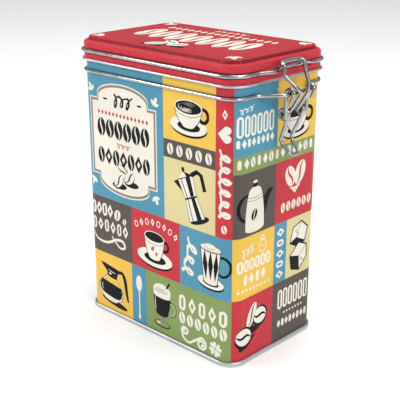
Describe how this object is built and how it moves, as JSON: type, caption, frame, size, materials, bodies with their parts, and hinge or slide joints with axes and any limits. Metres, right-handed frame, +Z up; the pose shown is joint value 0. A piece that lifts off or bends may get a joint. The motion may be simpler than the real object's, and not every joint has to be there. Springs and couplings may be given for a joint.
{
  "type": "coffee tin",
  "caption": "Rectangular tinplate storage tin with rounded corners, a stepped hinged lid and a wire clasp.",
  "frame": {"origin": "centre of the whole object's box in X and Y, at the rim that the tin stands on", "axes": "+Z up, +X towards the clasp, -Y towards the wide label face"},
  "size_m": [0.139, 0.0772, 0.1653],
  "materials": {
    "printed_tinplate": "satin",
    "lid_tinplate": "satin",
    "bare_tinplate": "satin",
    "zinc_wire": "polished",
    "silicone": "matte"
  },
  "bodies": {
    "tin": {"body_wall": "printed_tinplate", "base_panel": "bare_tinplate", "body_wire": "zinc_wire"},
    "lid": {"lid_shell": "lid_tinplate", "seal_ring": "silicone", "lid_wire": "zinc_wire"},
    "lever": {"lever": "zinc_wire"},
    "link": {"link": "zinc_wire"}
  },
  "joints": [
    {"name": "lid_hinge", "type": "hinge", "parent": "tin", "child": "lid", "pos_m": [-0.0662, 0, 0.1465], "axis": [0, -1, 0], "range_deg": [0, 110]},
    {"name": "lever_pivot", "type": "hinge", "parent": "tin", "child": "lever", "pos_m": [0.066, 0, 0.1472], "axis": [0, -1, 0], "range_deg": [0, 120]},
    {"name": "link_pivot", "type": "hinge", "parent": "lever", "child": "link", "pos_m": [0.0614, 0, 0.1362], "axis": [0, -1, 0], "range_deg": [-138, 0]}
  ],
  "couplings": [
    {"joint": "link_pivot", "follows": "lever_pivot", "ratio": -1.15}
  ]
}
